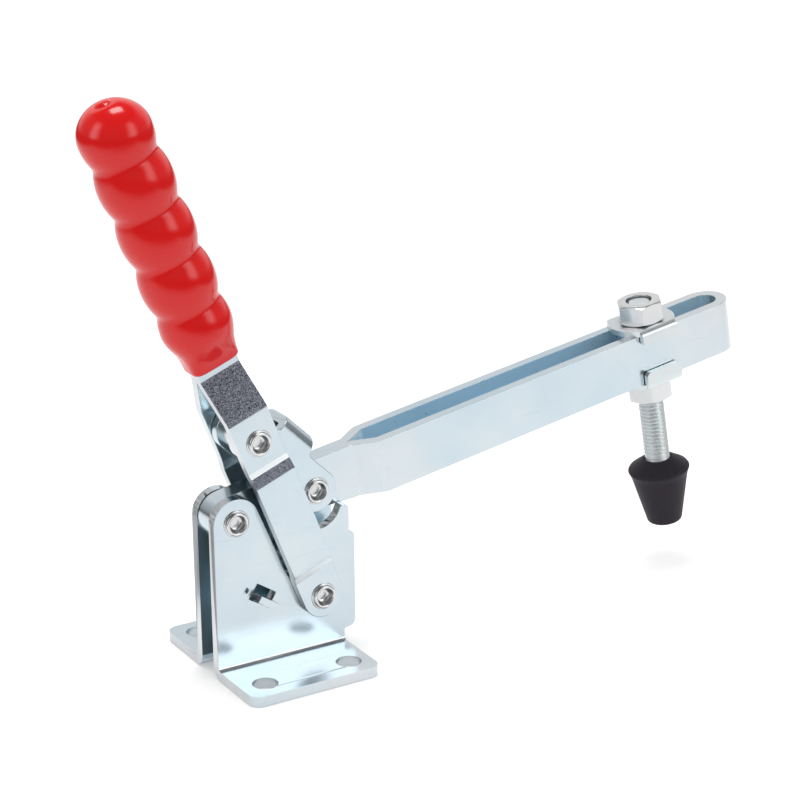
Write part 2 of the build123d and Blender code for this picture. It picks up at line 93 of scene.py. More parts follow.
def makeRolledSheet():
    # clouded tints, fine grain and long faint scratches of bright zinc plate
    group, nodes, links, inside, outside = newGroup(
        "rolledSheet",
        [("Bright", "NodeSocketColor", (0.8, 0.84, 0.87, 1)),
         ("Cloud", "NodeSocketColor", (0.7, 0.76, 0.8, 1)),
         ("Warm", "NodeSocketColor", (0.8, 0.8, 0.78, 1)),
         ("Gloss", "NodeSocketFloat", 0.26),
         ("Scratches", "NodeSocketFloat", 0.3)],
        [("Color", "NodeSocketColor"), ("Roughness", "NodeSocketFloat"), ("Height", "NodeSocketFloat")])
    coords = nodes.new("ShaderNodeTexCoord")
    tinted = inside.outputs["Bright"]
    for socketName, scale, low, high in rolled["clouds"]:
        cloud = nodes.new("ShaderNodeTexNoise")
        cloud.inputs["Scale"].default_value = scale
        cloud.inputs["Detail"].default_value = 4
        links.new(coords.outputs["Object"], cloud.inputs["Vector"])
        ramp = nodes.new("ShaderNodeMapRange")
        ramp.inputs["From Min"].default_value = low
        ramp.inputs["From Max"].default_value = high
        links.new(cloud.outputs["Fac"], ramp.inputs["Value"])
        tint = nodes.new("ShaderNodeMix")
        tint.data_type = "RGBA"
        links.new(ramp.outputs["Result"], tint.inputs["Factor"])
        links.new(tinted, tint.inputs["A"])
        links.new(inside.outputs[socketName], tint.inputs["B"])
        tinted = tint.outputs["Result"]

    # scratches: the crests of noises drawn out along two directions
    for turned, drawn in rolled["scratches"]:
        stretch = nodes.new("ShaderNodeMapping")
        stretch.inputs["Rotation"].default_value = turned
        stretch.inputs["Scale"].default_value = drawn
        links.new(coords.outputs["Object"], stretch.inputs["Vector"])
        streaks = nodes.new("ShaderNodeTexNoise")
        streaks.inputs["Scale"].default_value = 1.0
        streaks.inputs["Detail"].default_value = 2
        streaks.inputs["Distortion"].default_value = 0.5
        links.new(stretch.outputs["Vector"], streaks.inputs["Vector"])
        hair = nodes.new("ShaderNodeMapRange")
        hair.inputs["From Min"].default_value = rolled["scratchCrest"][0]
        hair.inputs["From Max"].default_value = rolled["scratchCrest"][1]
        links.new(streaks.outputs["Fac"], hair.inputs["Value"])
        scratched = nodes.new("ShaderNodeMath")
        scratched.operation = "MULTIPLY"
        links.new(hair.outputs["Result"], scratched.inputs[0])
        links.new(inside.outputs["Scratches"], scratched.inputs[1])
        dull = nodes.new("ShaderNodeMix")
        dull.data_type = "RGBA"
        dull.blend_type = "MULTIPLY"
        dull.inputs["B"].default_value = rolled["scratchTint"]
        links.new(scratched.outputs["Value"], dull.inputs["Factor"])
        links.new(tinted, dull.inputs["A"])
        tinted = dull.outputs["Result"]
    links.new(tinted, outside.inputs["Color"])

    fine = nodes.new("ShaderNodeTexNoise")
    fine.inputs["Scale"].default_value = rolled["grainScale"]
    fine.inputs["Detail"].default_value = 3
    links.new(coords.outputs["Object"], fine.inputs["Vector"])
    rough = nodes.new("ShaderNodeMath")
    rough.operation = "MULTIPLY_ADD"
    rough.inputs[1].default_value = rolled["grainRoughness"]
    links.new(fine.outputs["Fac"], rough.inputs[0])
    links.new(inside.outputs["Gloss"], rough.inputs[2])
    links.new(rough.outputs["Value"], outside.inputs["Roughness"])
    links.new(fine.outputs["Fac"], outside.inputs["Height"])
    return group


torn = {"mix": (0.38, 0.72), "depth": 0.35, "height": 0.2 * mm, "metal": 0.85, "roughness": 0.5}


def makeSpeckle():
    # torn, matt grain that a press leaves on a drawn slope, its tone darkened as painted shade
    group, nodes, links, inside, outside = newGroup(
        "speckle",
        [("Dark", "NodeSocketColor", (0.05, 0.055, 0.07, 1)),
         ("Light", "NodeSocketColor", (0.3, 0.32, 0.36, 1)),
         ("Scale", "NodeSocketFloat", 1500.0)],
        [("Color", "NodeSocketColor"), ("Height", "NodeSocketFloat")])
    coords = nodes.new("ShaderNodeTexCoord")
    grain = nodes.new("ShaderNodeTexNoise")
    grain.inputs["Detail"].default_value = 3
    links.new(coords.outputs["Object"], grain.inputs["Vector"])
    links.new(inside.outputs["Scale"], grain.inputs["Scale"])
    ramp = nodes.new("ShaderNodeMapRange")
    ramp.inputs["From Min"].default_value = torn["mix"][0]
    ramp.inputs["From Max"].default_value = torn["mix"][1]
    links.new(grain.outputs["Fac"], ramp.inputs["Value"])
    tint = nodes.new("ShaderNodeMix")
    tint.data_type = "RGBA"
    links.new(ramp.outputs["Result"], tint.inputs["Factor"])
    links.new(inside.outputs["Dark"], tint.inputs["A"])
    links.new(inside.outputs["Light"], tint.inputs["B"])
    links.new(tint.outputs["Result"], outside.inputs["Color"])
    links.new(grain.outputs["Fac"], outside.inputs["Height"])
    return group


rolledSheet = makeRolledSheet()
speckle = makeSpeckle()


def newMaterial(name):
    material = bpy.data.materials.new(name)
    material.use_nodes = True
    shader = material.node_tree.nodes["Principled BSDF"]
    return material, material.node_tree.nodes, material.node_tree.links, shader


def zincFinish(name, bright, cloud, warm, gloss, scratches, metal=1.0, grainDepth=0.1):
    material, nodes, links, shader = newMaterial(name)
    sheet = nodes.new("ShaderNodeGroup")
    sheet.node_tree = rolledSheet
    sheet.inputs["Bright"].default_value = (*bright, 1)
    sheet.inputs["Cloud"].default_value = (*cloud, 1)
    sheet.inputs["Warm"].default_value = (*warm, 1)
    sheet.inputs["Gloss"].default_value = gloss
    sheet.inputs["Scratches"].default_value = scratches
    bump = nodes.new("ShaderNodeBump")
    bump.inputs["Strength"].default_value = grainDepth
    bump.inputs["Distance"].default_value = rolled["grainHeight"]
    links.new(sheet.outputs["Color"], shader.inputs["Base Color"])
    links.new(sheet.outputs["Roughness"], shader.inputs["Roughness"])
    links.new(sheet.outputs["Height"], bump.inputs["Height"])
    links.new(bump.outputs["Normal"], shader.inputs["Normal"])
    shader.inputs["Metallic"].default_value = metal
    return material


def grainFinish(name, dark, light, scale):
    material, nodes, links, shader = newMaterial(name)
    grain = nodes.new("ShaderNodeGroup")
    grain.node_tree = speckle
    grain.inputs["Dark"].default_value = (*dark, 1)
    grain.inputs["Light"].default_value = (*light, 1)
    grain.inputs["Scale"].default_value = scale
    bump = nodes.new("ShaderNodeBump")
    bump.inputs["Strength"].default_value = torn["depth"]
    bump.inputs["Distance"].default_value = torn["height"]
    links.new(grain.outputs["Color"], shader.inputs["Base Color"])
    links.new(grain.outputs["Height"], bump.inputs["Height"])
    links.new(bump.outputs["Normal"], shader.inputs["Normal"])
    shader.inputs["Metallic"].default_value = torn["metal"]
    shader.inputs["Roughness"].default_value = torn["roughness"]
    return material


softGrainHeight = 0.3 * mm


def softFinish(name, colour, deep, scale, roughness, shine, grainDepth):
    # moulded vinyl or rubber, a little uneven in colour
    material, nodes, links, shader = newMaterial(name)
    coords = nodes.new("ShaderNodeTexCoord")
    noise = nodes.new("ShaderNodeTexNoise")
    noise.inputs["Scale"].default_value = scale
    noise.inputs["Detail"].default_value = 3
    links.new(coords.outputs["Object"], noise.inputs["Vector"])
    tint = nodes.new("ShaderNodeMix")
    tint.data_type = "RGBA"
    tint.inputs["A"].default_value = (*colour, 1)
    tint.inputs["B"].default_value = (*deep, 1)
    links.new(noise.outputs["Fac"], tint.inputs["Factor"])
    links.new(tint.outputs["Result"], shader.inputs["Base Color"])
    bump = nodes.new("ShaderNodeBump")
    bump.inputs["Strength"].default_value = grainDepth
    bump.inputs["Distance"].default_value = softGrainHeight
    links.new(noise.outputs["Fac"], bump.inputs["Height"])
    links.new(bump.outputs["Normal"], shader.inputs["Normal"])
    shader.inputs["Roughness"].default_value = roughness
    shader.inputs["Specular IOR Level"].default_value = shine
    return material


# plated sheet
zincSheet = zincFinish("zincSheet", bright=(0.565, 0.63, 0.665), cloud=(0.48, 0.575, 0.64),
                       warm=(0.66, 0.655, 0.65), gloss=0.17, scratches=0.16)
# sheared edges
zincCut = zincFinish("zincCut", bright=(0.66, 0.68, 0.69), cloud=(0.42, 0.45, 0.48),
                     warm=(0.76, 0.76, 0.75), gloss=0.3, scratches=0.0, metal=1.0, grainDepth=0.6)
# lower joggle of the handle: a pale, mostly matte copy of the zinc, painted sheen in place of its reflection
zincPaintedSheen = zincFinish("zincPaintedSheen", bright=(0.80, 0.87, 0.90), cloud=(0.76, 0.83, 0.87),
                      warm=(0.84, 0.86, 0.87), gloss=0.4, scratches=0.0, metal=0.4)
# narrow folds
zincFold = zincFinish("zincFold", bright=(0.60, 0.66, 0.70), cloud=(0.56, 0.62, 0.66),
                      warm=(0.63, 0.67, 0.68), gloss=0.25, scratches=0.0)
# near-white, nearly matte finish on the roll above the drawn slope: a painted highlight
zincPaintedHighlight = zincFinish("zincPaintedHighlight", bright=(0.93, 0.97, 0.985), cloud=(0.90, 0.95, 0.97),
                      warm=(0.95, 0.965, 0.97), gloss=0.3, scratches=0.0, metal=0.15)
# inner faces: a bluer, partly matte copy of the zinc, painted shade between the plates
zincPaintedShade = zincFinish("zincPaintedShade", bright=(0.50, 0.63, 0.69), cloud=(0.42, 0.56, 0.63),
                       warm=(0.54, 0.65, 0.67), gloss=0.18, scratches=0.0, metal=0.9)
# walls of the slot: a bluer, half-matte copy of the zinc, painted reflection of light bounced between the
# walls
zincSlotPaintedReflection = zincFinish("zincSlotPaintedReflection", bright=(0.52, 0.71, 0.83), cloud=(0.45, 0.65, 0.77),
                      warm=(0.56, 0.72, 0.80), gloss=0.25, scratches=0.0, metal=0.5)
# drawn slopes of the handle: torn grain, near black as painted shade
zincDrawnGrainAndShade = grainFinish("zincDrawnGrainAndShade", dark=(0.045, 0.05, 0.07), light=(0.46, 0.49, 0.57), scale=3000)
# rivets, nuts, bush and spacer
zincTurned = zincFinish("zincTurned", bright=(0.65, 0.66, 0.665), cloud=(0.59, 0.60, 0.605),
                        warm=(0.67, 0.665, 0.65), gloss=0.22, scratches=0.0)
# pressed washers
zincWasher = zincFinish("zincWasher", bright=(0.66, 0.70, 0.71), cloud=(0.60, 0.65, 0.67),
                        warm=(0.72, 0.72, 0.70), gloss=0.32, scratches=0.2, metal=0.9)
# rolled thread
zincThread = zincFinish("zincThread", bright=(0.72, 0.77, 0.78), cloud=(0.66, 0.71, 0.73),
                        warm=(0.76, 0.77, 0.76), gloss=0.46, scratches=0.0, metal=0.8)
# dipped grip
gripVinyl = softFinish("gripVinyl", colour=(0.68, 0.007, 0.007), deep=(0.62, 0.005, 0.005), scale=60,
                       roughness=0.16, shine=0.42, grainDepth=0.02)
# moulded tip
tipRubber = softFinish("tipRubber", colour=(0.029, 0.024, 0.032), deep=(0.024, 0.020, 0.027), scale=700,
                       roughness=0.5, shine=0.12, grainDepth=0.12)
print("finishes made")


def addPiece(name, mesh, materials, body, nodes):
    piece = bpy.data.objects.new(name, mesh)
    scene.collection.objects.link(piece)
    for material in materials:
        mesh.materials.append(material)
    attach(piece, body)
    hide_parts(*nodes)
    return piece


# flatWithin and sharpFrom are in degrees
dressing = {"weld": 0.002 * mm, "flatWithin": 0.4, "segments": 3, "sharpFrom": 35, "flatWeight": 90}


def dressedCopy(node, body, settings, materials, choose=None, shape=None):
    # welded copy of the clamp's own solid, with its sharp edges eased and its flats kept flat
    bm = bmesh.new()
    bm.from_mesh(frame["nodes"][node].data)
    bmesh.ops.remove_doubles(bm, verts=bm.verts, dist=dressing["weld"])
    bmesh.ops.dissolve_limit(bm, angle_limit=math.radians(dressing["flatWithin"]), verts=bm.verts,
                             edges=bm.edges)
    if shape:
        shape(bm)
    bm.normal_update()
    for face in bm.faces:
        face.smooth = True
        face.material_index = 0
        if choose:
            face.material_index = choose(face.calc_center_median(), face.normal, face.calc_area())
    mesh = bpy.data.meshes.new(node + "_dressed")
    bm.to_mesh(mesh)
    bm.free()
    piece = addPiece(node + "_dressed", mesh, materials, body, [node])
    ease = piece.modifiers.new("edges", "BEVEL")
    ease.width = settings["edge"]
    ease.segments = dressing["segments"]
    ease.limit_method = "ANGLE"
    ease.angle_limit = math.radians(dressing["sharpFrom"])
    ease.harden_normals = True
    ease.use_clamp_overlap = True
    flat = piece.modifiers.new("flat faces", "WEIGHTED_NORMAL")
    flat.mode = "FACE_AREA"
    flat.weight = dressing["flatWeight"]
    flat.keep_sharp = True
    return piece


# shares of a face's normal that tell the faces of folded plates apart
faceSettings = {"looksIn": 0.5, "fold": (0.25, 0.95), "edgeOn": 0.2, "level": 0.98}


def insideFaces(near):
    # 0 plain faces, 1 faces that look at the middle plane from within near, given painted shade, 2 folds and
    # sheared edges
    def choose(centre, normal, area):
        if abs(centre.y) < near and normal.y * centre.y < -faceSettings["looksIn"] * abs(centre.y):
            return 1
        foldLow, foldHigh = faceSettings["fold"]
        folded = foldLow < normal.z < foldHigh and normal.y * centre.y > 0
        sheared = abs(normal.y) < faceSettings["edgeOn"] and abs(normal.z) < faceSettings["level"]
        return 2 if folded or sheared else 0
    return choose


baseSettings = {
    "edge": 0.35 * mm, "inside": 4 * mm,
    # the stop runs at this angle, and all places near it are from the handle's pivot
    "stopAt": 146.6, "farEnd": (17.2 * mm, 18.4 * mm), "stopSide": 17.85 * mm, "nearSide": 14.5 * mm,
    "windowDepth": (4.4 * mm, 11.9 * mm), "stopDepth": 6 * mm,
    "stopWider": 1.3 * mm, "windowWider": 2.5 * mm, "stopShorter": 0.5 * mm, "stopFlare": 1.6 * mm,
    # out from the middle plane: past the plate's face, and at the end of the stop
    "stopFrom": 7.1 * mm, "stopEnd": 10.2 * mm,
    "stopRound": 0.75 * mm, "stopRoundSegments": 4, "stopSharp": 0.6,
    # nothing below this height is touched
    "lowest": 12 * mm,
}


def roundStop(bm):
    # the window and the stop are widened at the far end, and the stop is shortened, flared and rounded
    axis = leaning(baseSettings["stopAt"])
    below = leaning(baseSettings["stopAt"] + 90)
    for vert in bm.verts:
        if vert.co.z < baseSettings["lowest"]:
            continue
        offset = vert.co - handlePivot
        along, depth = offset.dot(axis), offset.dot(below)
        endLow, endHigh = baseSettings["farEnd"]
        depthLow, depthHigh = baseSettings["windowDepth"]
        if endLow < along < endHigh and depthLow < depth < depthHigh:
            onStop = along < baseSettings["stopSide"] and depth > baseSettings["stopDepth"]
            vert.co += axis * baseSettings["stopWider" if onStop else "windowWider"]
        if abs(vert.co.y) > baseSettings["stopEnd"]:
            vert.co.y -= math.copysign(baseSettings["stopShorter"], vert.co.y)
            if along < baseSettings["nearSide"]:
                vert.co -= axis * baseSettings["stopFlare"]
    bm.normal_update()
    edges = [edge for edge in bm.edges
             if min(vert.co.z for vert in edge.verts) > baseSettings["lowest"]
             and max(abs(vert.co.y) for vert in edge.verts) > baseSettings["stopFrom"]
             and edge.calc_face_angle(0) > baseSettings["stopSharp"]]
    bmesh.ops.bevel(bm, geom=edges, offset=baseSettings["stopRound"],
                    segments=baseSettings["stopRoundSegments"], profile=0.5, affect="EDGES", material=-1,
                    clamp_overlap=True)


handleSettings = {
    "edge": 0.35 * mm, "lean": 21.1,
    # along the handle from its pivot: the roll that carries the painted highlight, and the last of the
    # crease at the lower joggle
    "highlightFrom": 45.35 * mm, "highlightTo": 47 * mm, "creaseTo": 10.2 * mm,
    # shares of the normal, and the area that parts the lower joggle's slope from its folds
    "innerFrom": 0.5, "edgeOn": 0.2, "slopeFrom": 0.03, "facingOut": 0.3, "drawnFrom": 0.1, "flatArea": 2e-5,
}
handleAxis = leaning(90 + handleSettings["lean"])


def handleFaces(centre, normal, area):
    # 0 plain sheet, 1 inner faces in painted shade, 2 torn grain with painted shade on outer slopes that
    # look up along the handle,
    # 3 sheared edges, 4 broad slopes that look down it, lightened as painted sheen, 5 the roll with a
    # painted highlight, 6 crease of the lower joggle
    outward = normal.y * centre.y > 0
    if not outward and abs(normal.y) > handleSettings["innerFrom"]:
        return 1
    if abs(normal.y) < handleSettings["edgeOn"]:
        return 3
    rising = normal.dot(handleAxis)
    if outward and abs(rising) > handleSettings["slopeFrom"] and abs(normal.y) > handleSettings["facingOut"]:
        along = (centre - handlePivot).dot(handleAxis)
        if handleSettings["highlightFrom"] < along < handleSettings["highlightTo"]:
            return 5
        if rising > handleSettings["drawnFrom"]:
            return 2
        if area > handleSettings["flatArea"]:
            return 4
        return 6 if along < handleSettings["creaseTo"] else 0
    return 0


def splitPaintedHighlight(bm):
    # the roll above the joggle's drawn slope gets its own faces for its painted highlight
    cutAt = handlePivot + handleAxis * handleSettings["highlightFrom"]
    bmesh.ops.bisect_plane(bm, geom=bm.verts[:] + bm.edges[:] + bm.faces[:], dist=cutWithin,
                           plane_co=cutAt, plane_no=handleAxis)


barSettings = {
    "edge": 0.3 * mm, "slot": 4.5 * mm, "neck": 50 * mm,
    # shares of the normal, and the area under which a leaning face is a fold
    "wall": 0.3, "foldLean": (0.4, 0.995), "foldArea": 2e-5,
}


def barFaces(centre, normal, area):
    # 0 plain sheet, 1 walls of the slot, in painted reflection, 2 narrow folds of the neck
    wall = barSettings["wall"]
    inner = normal.y * centre.y < -wall * abs(centre.y) and abs(centre.y) < barSettings["slot"]
    if inner and abs(normal.dot(spindleAxis)) < wall:
        return 1
    neck = (centre - armPivot).dot(barAxis) < barSettings["neck"]
    leanLow, leanHigh = barSettings["foldLean"]
    return 2 if neck and leanLow < abs(normal.y) < leanHigh and area < barSettings["foldArea"] else 0


linkSettings = {"edge": 0.35 * mm, "inside": 4 * mm}
rivetSettings = {"edge": 0.1 * mm}
washerSettings = {"edge": 0.25 * mm}
nutSettings = {"edge": 0.18 * mm}
tipSettings = {"edge": 0.12 * mm}
# the second finish of plates and link is painted shade on their inner faces
plateFinishes = [zincSheet, zincPaintedShade, zincCut]
handleFinishes = [zincSheet, zincPaintedShade, zincDrawnGrainAndShade, zincCut, zincPaintedSheen, zincPaintedHighlight, zincFold]
for side in ("right", "left"):
    dressedCopy("base_plate_" + side, "base", baseSettings, plateFinishes,
                insideFaces(baseSettings["inside"]), roundStop)
    dressedCopy("handle_plate_" + side, "handle", handleSettings, handleFinishes,
                handleFaces, splitPaintedHighlight)
    dressedCopy("link_rivet_" + side, "link", rivetSettings, [zincTurned])
dressedCopy("bar", "bar", barSettings, [zincSheet, zincSlotPaintedReflection, zincFold], barFaces)
dressedCopy("link", "link", linkSettings, [zincSheet, zincPaintedShade, zincSheet],
            insideFaces(linkSettings["inside"]))
dressedCopy("bar_pivot_rivet", "base", rivetSettings, [zincTurned])
dressedCopy("handle_pivot_rivet", "handle", rivetSettings, [zincTurned])
dressedCopy("toggle_rivet", "handle", rivetSettings, [zincTurned])
for node in ("top_washer", "low_washer"):
    dressedCopy(node, "spindle_clamp", washerSettings, [zincWasher])
for node in ("top_nut", "low_nut"):
    dressedCopy(node, "spindle_clamp", nutSettings, [zincTurned])
dressedCopy("rubber_tip", "spindle", tipSettings, [tipRubber])
for node in ("handle_pivot_spacer", "link_bush"):
    # both are nearly hidden and stay as they are, with only their finish given
    tube = frame["nodes"][node]
    tube.data.materials.clear()
    tube.data.materials.append(zincTurned)
print("sheet metal and rivets dressed")


lathedWeld = 0.004 * mm


def lathe(points, steps):
    # closed solid of revolution about own X: points run from one end of the axis to the other
    bm = bmesh.new()
    chain = [bm.verts.new((along, 0, reach)) for along, reach in points]
    for near, far in zip(chain, chain[1:]):
        bm.edges.new((near, far))
    bmesh.ops.spin(bm, geom=bm.verts[:] + bm.edges[:], cent=(0, 0, 0), axis=(1, 0, 0),
                   dvec=(0, 0, 0), angle=math.tau, steps=steps, use_merge=True)
    bmesh.ops.remove_doubles(bm, verts=bm.verts, dist=lathedWeld)
    bmesh.ops.recalc_face_normals(bm, faces=bm.faces)
    for face in bm.faces:
        face.smooth = True
    return bm


def finished(bm, name, place, materials, body, nodes):
    bmesh.ops.transform(bm, matrix=place, verts=bm.verts)
    mesh = bpy.data.meshes.new(name)
    bm.to_mesh(mesh)
    bm.free()
    return addPiece(name, mesh, materials, body, nodes)


grip = {
    # millimetres; places are along the handle from its pivot
    "start": 77.9, "firstCrest": 90.0, "firstCrestR": 10.24, "throat": 84.0, "throatR": 8.2,
    "firstValley": 96.8, "pitch": 15.13, "valleys": 4, "valleyR": 8.9, "crestR": 10.62, "fullness": 2.1,
    "ballGap": 6.7, "ballR": 10.35, "ballRise": 9.5, "ballSteps": 24,
    "flatR": 4.0, "flatRound": 0.35, "nubR": 2.1, "nubHeight": 0.9,
    # height over the flat and reach past flatR, then height and reach past nubR, then share of nubHeight
    "flatEdge": [(-0.02, -0.15), (0.07, -0.7), (0.12, -1.2)],
    "nubFoot": [(0.16, 0.4), (0.3, 0.15)],
    "nubTop": [(0.6, -0.2), (0.85, -0.6), (0.97, -1.1)],
    "halfDepth": 5.0, "squareness": 5.0, "mouthRound": 0.8, "mouthTurns": (22.5, 45, 67.5),
    # half width of the skirt in the plane of the plates, by distance from the pivot
    "skirt": [(77.9, 7.4), (80, 7.5), (82, 7.8), (84, 8.3), (86, 9.15), (88, 9.95), (90, 10.24)],
    "easeStep": 0.25, "easeSteps": 4, "widthStep": 0.4, "widthSteps": 3,
    "stationGap": 0.5, "steps": 120,
}


def skirtWidth(at):
    stations = grip["skirt"]
    for (near, low), (far, high) in zip(stations, stations[1:]):
        if at <= far:
            share = min(max((at - near) / (far - near), 0), 1)
            return low + (high - low) * share
    return stations[-1][1]


def bulge(at, crestAt, crestR, endAt, endR):
    share = abs(at - crestAt) / abs(endAt - crestAt)
    return crestR - (crestR - endR) * share ** grip["fullness"]


def gripReach(at):
    # radius of the turned form, before the skirt is squared
    valleys = [grip["firstValley"] + i * grip["pitch"] for i in range(grip["valleys"])]
    ballAt = valleys[-1] + grip["ballGap"]
    if at >= ballAt:
        return grip["ballR"] * math.sqrt(max(1 - ((at - ballAt) / grip["ballRise"]) ** 2, 0))
    if at >= valleys[-1]:
        return bulge(at, ballAt, grip["ballR"], valleys[-1], grip["valleyR"])
    if at >= valleys[0]:
        low = max(valley for valley in valleys if valley <= at)
        return bulge(at, low + 0.5 * grip["pitch"], grip["crestR"], low, grip["valleyR"])
    if at >= grip["firstCrest"]:
        return bulge(at, grip["firstCrest"], grip["firstCrestR"], valleys[0], grip["valleyR"])
    rise = bulge(at, grip["firstCrest"], grip["firstCrestR"], grip["throat"], grip["throatR"])
    return max(rise, grip["throatR"])


def easedReach(at):
    # rounds the valleys and the throat over a millimetre to each side
    reach = grip["easeSteps"]
    spread = [gripReach(at + grip["easeStep"] * k) for k in range(-reach, reach + 1)]
    return sum(spread) / len(spread)


def easedWidth(at):
    reach = grip["widthSteps"]
    spread = [skirtWidth(at + grip["widthStep"] * k) for k in range(-reach, reach + 1)]
    return sum(spread) / len(spread)


def squareSkirt(bm):
    # the round form narrows to a flat mouth that follows the two plates
    start, crestAt, crestR = grip["start"], grip["firstCrest"], grip["firstCrestR"]
    for vert in bm.verts:
        at = vert.co.x / mm
        run = max(at - start, 0) / (crestAt - start)
        reach = math.hypot(vert.co.y, vert.co.z)
        if run >= 1 or reach < tiny:
            continue
        depth = grip["halfDepth"] + (crestR - grip["halfDepth"]) * run * run * (3 - 2 * run)
        width = easedWidth(at)
        power = 2 + (grip["squareness"] - 2) * (1 - run) ** 2
        side = abs(vert.co.y) / reach
        front = abs(vert.co.z) / reach
        wanted = ((side / depth) ** power + (front / width) ** power) ** (-1 / power)
        scale = wanted / easedReach(max(at, start + grip["mouthRound"]))
        vert.co.y *= scale
        vert.co.z *= scale


def makeGrip():
    ballAt = grip["firstValley"] + (grip["valleys"] - 1) * grip["pitch"] + grip["ballGap"]
    flatR, nubR = grip["flatR"], grip["nubR"]
    flatAt = ballAt + grip["ballRise"] * math.sqrt(1 - (flatR / grip["ballR"]) ** 2)
    edge = grip["mouthRound"]
    reach = easedReach(grip["start"] + edge)
    points = [(grip["start"], 0), (grip["start"], reach - edge)]
    for degrees in grip["mouthTurns"]:
        turn = math.radians(degrees)
        points.append((grip["start"] + edge * (1 - math.cos(turn)), reach - edge * (1 - math.sin(turn))))
    at = grip["start"] + edge
    while at < ballAt:
        points.append((at, easedReach(at)))
        at += grip["stationGap"]
    last = math.acos((flatR + grip["flatRound"]) / grip["ballR"])
    for step in range(1, grip["ballSteps"] + 1):
        turn = last * step / grip["ballSteps"]
        points.append((ballAt + grip["ballRise"] * math.sin(turn), grip["ballR"] * math.cos(turn)))
    rise = grip["nubHeight"]
    points += [(flatAt + over, flatR + past) for over, past in grip["flatEdge"]]
    points += [(flatAt + over, nubR + past) for over, past in grip["nubFoot"]]
    points += [(flatAt + share * rise, nubR + past) for share, past in grip["nubTop"]]
    points.append((flatAt + rise, 0))
    bm = lathe([(at * mm, reach * mm) for at, reach in points], grip["steps"])
    squareSkirt(bm)
    return bm


gripPlace = frameAt(handlePivot, handleAxis)
finished(makeGrip(), "grip_moulding", gripPlace, [gripVinyl], "handle", ["grip"])
print("grip moulded")

spindle = {
    # millimetres; heights are along the spindle from the bar's own line through its pivot
    "alongBar": 148.4, "top": 15.2, "bottom": -44.0, "headLow": -48.3, "headTop": -43.0, "flats": 13.0,
    "crestR": 3.95, "rootR": 3.2, "pitch": 1.25, "steps": 32, "endR": 3.1,
    # shares of the pitch where the flank starts, the crest starts and the crest ends
    "thread": (0.22, 0.55, 0.68),
}


def makeSpindle():
    pitch = spindle["pitch"] * mm
    root, crest = spindle["rootR"] * mm, spindle["crestR"] * mm
    low, high = spindle["bottom"] * mm, spindle["top"] * mm
    bm = bmesh.new()
    flank, crestFrom, crestTo = spindle["thread"]
    profile = [(0, root), (flank, root), (crestFrom, crest), (crestTo, crest), (1, root)]
    chain = [bm.verts.new((low + (share - 1) * pitch, 0, reach)) for share, reach in profile]
    for near, far in zip(chain, chain[1:]):
        bm.edges.new((near, far))
    turns = math.ceil((high - low) / pitch) + 2
    bmesh.ops.spin(bm, geom=bm.verts[:] + bm.edges[:], cent=(0, 0, 0), axis=(1, 0, 0),
                   dvec=(pitch / spindle["steps"], 0, 0), angle=math.tau * turns,
                   steps=spindle["steps"] * turns)
    bmesh.ops.remove_doubles(bm, verts=bm.verts, dist=lathedWeld)
    for place, outward in ((low, -1), (high, 1)):
        bmesh.ops.bisect_plane(bm, geom=bm.verts[:] + bm.edges[:] + bm.faces[:], dist=cutWithin,
                               plane_co=(place, 0, 0), plane_no=(outward, 0, 0), clear_outer=True)
        rim = [edge for edge in bm.edges if edge.is_boundary and abs(edge.verts[0].co.x - place) < tiny]
        bmesh.ops.holes_fill(bm, edges=rim, sides=0)
    # the upper end is chamfered at 45 degrees
    for vert in bm.verts:
        reach = math.hypot(vert.co.y, vert.co.z)
        allowed = spindle["endR"] * mm + (high - vert.co.x)
        if reach > allowed:
            vert.co.y *= allowed / reach
            vert.co.z *= allowed / reach
    # the filled ends stay flat
    for face in bm.faces:
        face.smooth = len(face.verts) < 5
    return bm


def addHead(bm):
    # hexagon that the rubber tip is moulded over
    depth = (spindle["headTop"] - spindle["headLow"]) * mm
    middle = 0.5 * (spindle["headTop"] + spindle["headLow"]) * mm
    corner = spindle["flats"] / math.sqrt(3) * mm
    upright = Matrix.Translation((middle, 0, 0)) @ Matrix.Rotation(math.radians(90), 4, "Y")
    bmesh.ops.create_cone(bm, cap_ends=True, segments=6, radius1=corner, radius2=corner, depth=depth,
                          matrix=upright)


spindleBody = makeSpindle()
addHead(spindleBody)
bmesh.ops.recalc_face_normals(spindleBody, faces=spindleBody.faces)
spindleOrigin = armPivot + barAxis.normalized() * spindle["alongBar"] * mm
finished(spindleBody, "spindle_thread", frameAt(spindleOrigin, spindleAxis), [zincThread], "spindle",
         ["spindle_bolt"])
print("spindle threaded")

studio = {
    "floorSize": 6.0,
    "floorColour": (0.86, 0.86, 0.86, 1),
    "floorRoughness": 0.9,
    "floorShine": 0.1,
    "floorLift": 0.26,
    "worldLevel": 0.92,
    "cardToward": (-0.515, -0.857, 0.0),
    "cardAcross": (0.857, -0.515, 0.0),
    # in reflections the paper ends this far in front of the clamp and to its sides
    "paperEnd": (0.14, 0.42),
    "paperSide": (0.4, 0.85),
    "paperShift": 0.08,
    # brightness seen round the clamp, by degrees from the middle of the card
    "around": [(0, 0.2), (40, 0.2), (56, 3.1), (66, 3.1), (80, 0.35), (112, 0.35), (135, 1.0)],
    "ceiling": (0.58, 0.8),
    "ceilingLevel": 0.12,
    "skirting": (-0.04, 0.14),
    "roomLevel": 0.08,
    "topBox": {"place": (0.04, 0.12, 1.1), "aim": (0.04, 0, 0.07), "size": (0.42, 0.3), "power": 4.0},
}

